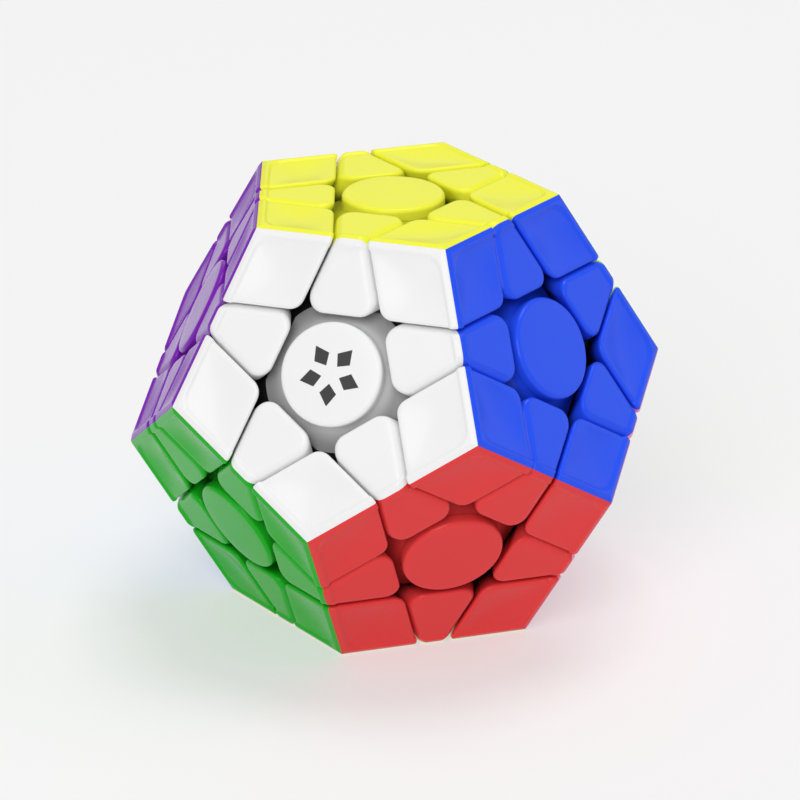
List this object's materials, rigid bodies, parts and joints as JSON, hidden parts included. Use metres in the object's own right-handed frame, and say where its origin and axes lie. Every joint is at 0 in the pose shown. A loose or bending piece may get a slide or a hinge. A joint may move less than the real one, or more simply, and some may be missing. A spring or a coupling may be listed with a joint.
{
  "type": "dodecahedron twisty puzzle",
  "caption": "Face-turning dodecahedron puzzle with round face caps, edge and corner pieces in face colours, and a sprung core inside.",
  "frame": {"origin": "centre of the core, where the twelve turning axes meet", "axes": "+Z along the yellow face's turning axis, out of the yellow face; the white face leans up towards -Y"},
  "size_m": [0.0838, 0.088, 0.0712],
  "materials": {
    "plastic_yellow": "moulded yellow plastic, satin gloss",
    "plastic_white": "moulded white plastic, satin gloss",
    "plastic_blue": "moulded blue plastic, satin gloss",
    "plastic_light_green": "moulded light green plastic, satin gloss",
    "plastic_orange": "moulded orange plastic, satin gloss",
    "plastic_purple": "moulded purple plastic, satin gloss",
    "plastic_cream": "moulded cream plastic, satin gloss",
    "plastic_grey": "moulded grey plastic, satin gloss",
    "plastic_light_blue": "moulded light blue plastic, satin gloss",
    "plastic_green": "moulded green plastic, satin gloss",
    "plastic_red": "moulded red plastic, satin gloss",
    "plastic_pink": "moulded pink plastic, satin gloss",
    "inner_plastic": "moulded black plastic of the hidden mechanism",
    "screw_steel": "zinc-plated steel screw",
    "spring_steel": "bare spring steel"
  },
  "bodies": {
    "core": {"core_with_fixed_centres": "inner_plastic", "corner_blue_light_green_pink": "plastic_pink", "corner_cream_grey_pink": "plastic_pink", "corner_light_green_grey_pink": "plastic_pink", "corner_light_green_orange_grey": "plastic_light_green", "corner_white_purple_green": "plastic_white", "edge_blue_light_green": "plastic_blue", "edge_blue_pink": "plastic_pink", "edge_cream_green": "plastic_cream", "edge_cream_grey": "plastic_cream", "edge_cream_pink": "plastic_pink", "edge_grey_pink": "plastic_pink", "edge_light_green_grey": "plastic_light_green", "edge_light_green_orange": "plastic_light_green", "edge_light_green_pink": "plastic_pink", "edge_orange_grey": "plastic_orange", "edge_orange_purple": "plastic_orange", "edge_purple_green": "plastic_purple", "edge_white_blue": "plastic_white", "edge_white_green": "plastic_white", "edge_white_purple": "plastic_white", "screw_light_blue": "screw_steel", "screw_red": "screw_steel", "screw_yellow": "screw_steel", "spring_light_blue": "spring_steel", "spring_red": "spring_steel", "spring_yellow": "spring_steel"},
    "layer_yellow": {"centre_yellow": "plastic_yellow", "corner_yellow_blue_light_green": "plastic_yellow", "corner_yellow_light_green_orange": "plastic_yellow", "corner_yellow_orange_purple": "plastic_yellow", "corner_yellow_white_blue": "plastic_yellow", "corner_yellow_white_purple": "plastic_yellow", "edge_yellow_blue": "plastic_yellow", "edge_yellow_light_green": "plastic_yellow", "edge_yellow_orange": "plastic_yellow", "edge_yellow_purple": "plastic_yellow", "edge_yellow_white": "plastic_yellow"},
    "layer_red": {"centre_red": "plastic_red", "corner_blue_red_pink": "plastic_pink", "corner_cream_green_red": "plastic_cream", "corner_cream_red_pink": "plastic_pink", "corner_white_blue_red": "plastic_white", "corner_white_green_red": "plastic_white", "edge_blue_red": "plastic_blue", "edge_cream_red": "plastic_cream", "edge_green_red": "plastic_green", "edge_red_pink": "plastic_pink", "edge_white_red": "plastic_white"},
    "layer_light_blue": {"centre_light_blue": "plastic_light_blue", "corner_cream_grey_light_blue": "plastic_cream", "corner_cream_light_blue_green": "plastic_cream", "corner_orange_grey_light_blue": "plastic_orange", "corner_orange_purple_light_blue": "plastic_orange", "corner_purple_light_blue_green": "plastic_purple", "edge_cream_light_blue": "plastic_cream", "edge_grey_light_blue": "plastic_grey", "edge_light_blue_green": "plastic_light_blue", "edge_orange_light_blue": "plastic_orange", "edge_purple_light_blue": "plastic_purple"}
  },
  "joints": [
    {"name": "turn_yellow", "type": "hinge", "parent": "core", "child": "layer_yellow", "pos_m": [0, 0, 0], "axis": [0, 0, 1], "continuous": true},
    {"name": "turn_red", "type": "hinge", "parent": "core", "child": "layer_red", "pos_m": [0, 0, 0], "axis": [0.5257, -0.7236, -0.4472], "continuous": true},
    {"name": "turn_light_blue", "type": "hinge", "parent": "core", "child": "layer_light_blue", "pos_m": [0, 0, 0], "axis": [-0.8507, 0.2764, -0.4472], "continuous": true}
  ]
}
